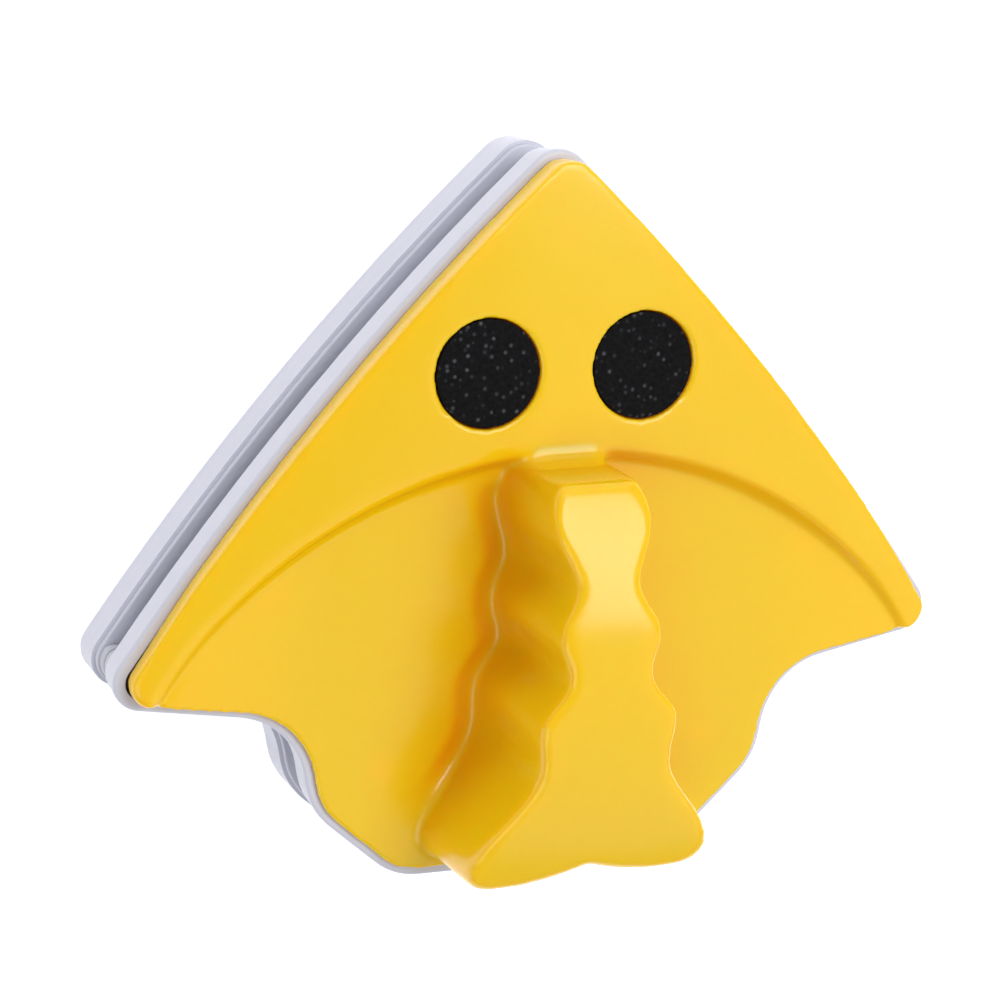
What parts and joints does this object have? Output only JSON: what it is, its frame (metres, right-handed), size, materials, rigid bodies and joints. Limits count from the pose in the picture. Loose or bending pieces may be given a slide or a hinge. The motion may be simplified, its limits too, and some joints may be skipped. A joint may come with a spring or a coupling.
{
  "type": "magnetic glass cleaner",
  "caption": "Triangular two-sided glass cleaner: a yellow handle half with a finger grip and a white outer half, held together through the pane by magnets.",
  "frame": {"origin": "middle of the lowest face of the overall box: the outer half lies on its plain outer face", "axes": "+Z from the outer half through the pane to the grip, +Y to the apex of the triangle, X across the wings"},
  "size_m": [0.2188, 0.1802, 0.073],
  "materials": {
    "yellow_abs": "satin-gloss moulded ABS, yellow",
    "white_abs": "satin moulded ABS, cool white",
    "eye_foam": "black EVA foam with fine glitter speckle",
    "hook_tape": "white nylon hook tape",
    "pad_cloth": "grey microfibre pile on foam",
    "blade_rubber": "dark grey squeegee rubber",
    "bumper_rubber": "pale grey rubber",
    "magnet": "nickel-plated neodymium magnet",
    "cup_steel": "zinc-plated steel pot",
    "stainless": "stainless steel"
  },
  "bodies": {
    "outer_half": {"cord_anchor_pin": "stainless", "outer_bumpers": "bumper_rubber", "outer_cover": "white_abs", "outer_face_plate": "white_abs", "outer_hook_sheet": "hook_tape", "outer_left_blade": "blade_rubber", "outer_lobe_hook_sheet": "hook_tape", "outer_lobe_pad": "pad_cloth", "outer_lower_blade": "blade_rubber", "outer_magnet_cups": "cup_steel", "outer_magnets": "magnet", "outer_pad": "pad_cloth", "outer_right_blade": "blade_rubber", "outer_screws": "stainless"},
    "handle_half": {"handle_shell": "yellow_abs", "inner_bumpers": "bumper_rubber", "inner_hook_sheet": "hook_tape", "inner_left_blade": "blade_rubber", "inner_lobe_hook_sheet": "hook_tape", "inner_lobe_pad": "pad_cloth", "inner_lower_blade": "blade_rubber", "inner_magnet_cups": "cup_steel", "inner_magnets": "magnet", "inner_pad": "pad_cloth", "inner_right_blade": "blade_rubber", "inner_screws": "stainless", "inner_tray": "white_abs", "left_eye_pad": "eye_foam", "right_eye_pad": "eye_foam"}
  },
  "joints": [
    {"name": "pull_apart", "type": "slide", "parent": "outer_half", "child": "handle_half", "axis": [0, 0, 1], "range_m": [0, 0.06]}
  ]
}
